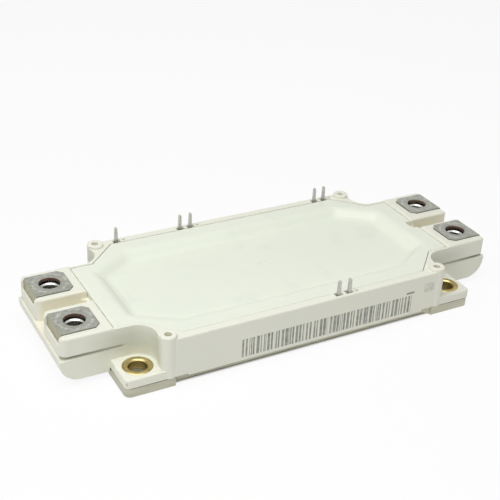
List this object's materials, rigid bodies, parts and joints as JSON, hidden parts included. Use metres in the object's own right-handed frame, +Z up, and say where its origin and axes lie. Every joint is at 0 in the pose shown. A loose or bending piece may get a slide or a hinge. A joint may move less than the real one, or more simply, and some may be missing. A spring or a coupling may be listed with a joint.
{
  "type": "power semiconductor module",
  "caption": "Flat two-switch power semiconductor module with a metal base plate, screw terminals at both ends, control pins and a dished lid.",
  "frame": {"origin": "centre of the underside of the base plate", "axes": "+X along the module towards the output terminals, +Y towards the side with five control pins, +Z up, away from the heatsink"},
  "size_m": [0.152, 0.0626, 0.021],
  "materials": {
    "base_plate": "satin nickel plate over copper",
    "adhesive": "matt silicone adhesive",
    "housing": "off-white moulded plastic, satin",
    "lid": "off-white moulded plastic, satin",
    "bushing": "turned brass",
    "terminal": "dull nickel plate over copper, scratched",
    "nut": "bright zinc-plated steel",
    "pin": "tin-plated copper",
    "solder": "dull solder",
    "ceramic": "sintered alumina ceramic",
    "circuit_copper": "bare copper",
    "transistor_chip": "metallised silicon",
    "diode_chip": "metallised silicon",
    "bond_wire": "drawn aluminium",
    "thermistor": "black ceramic",
    "gel": "clear silicone gel"
  },
  "bodies": {
    "root": {"base_plate": "base_plate", "adhesive_bead": "adhesive", "housing_frame": "housing", "lid": "lid", "bushing_front_left": "bushing", "bushing_front_right": "bushing", "bushing_rear_left": "bushing", "bushing_rear_right": "bushing", "terminal_dc_front": "terminal", "terminal_dc_rear": "terminal", "terminal_ac_front": "terminal", "terminal_ac_rear": "terminal", "nut_dc_front": "nut", "nut_dc_rear": "nut", "nut_ac_front": "nut", "nut_ac_rear": "nut", "control_pin_1": "pin", "control_pin_2": "pin", "control_pin_3": "pin", "control_pin_4": "pin", "control_pin_5": "pin", "control_pin_6": "pin", "control_pin_7": "pin", "solder_layer_1": "solder", "solder_layer_2": "solder", "solder_layer_3": "solder", "ceramic_1": "ceramic", "ceramic_2": "ceramic", "ceramic_3": "ceramic", "circuit_copper_1": "circuit_copper", "circuit_copper_2": "circuit_copper", "circuit_copper_3": "circuit_copper", "igbt_chip_1": "transistor_chip", "igbt_chip_2": "transistor_chip", "igbt_chip_3": "transistor_chip", "igbt_chip_4": "transistor_chip", "igbt_chip_5": "transistor_chip", "igbt_chip_6": "transistor_chip", "diode_chip_1": "diode_chip", "diode_chip_2": "diode_chip", "diode_chip_3": "diode_chip", "diode_chip_4": "diode_chip", "diode_chip_5": "diode_chip", "diode_chip_6": "diode_chip", "bond_wires_1": "bond_wire", "bond_wires_2": "bond_wire", "bond_wires_3": "bond_wire", "thermistor": "thermistor", "silicone_gel": "gel"}
  },
  "joints": []
}
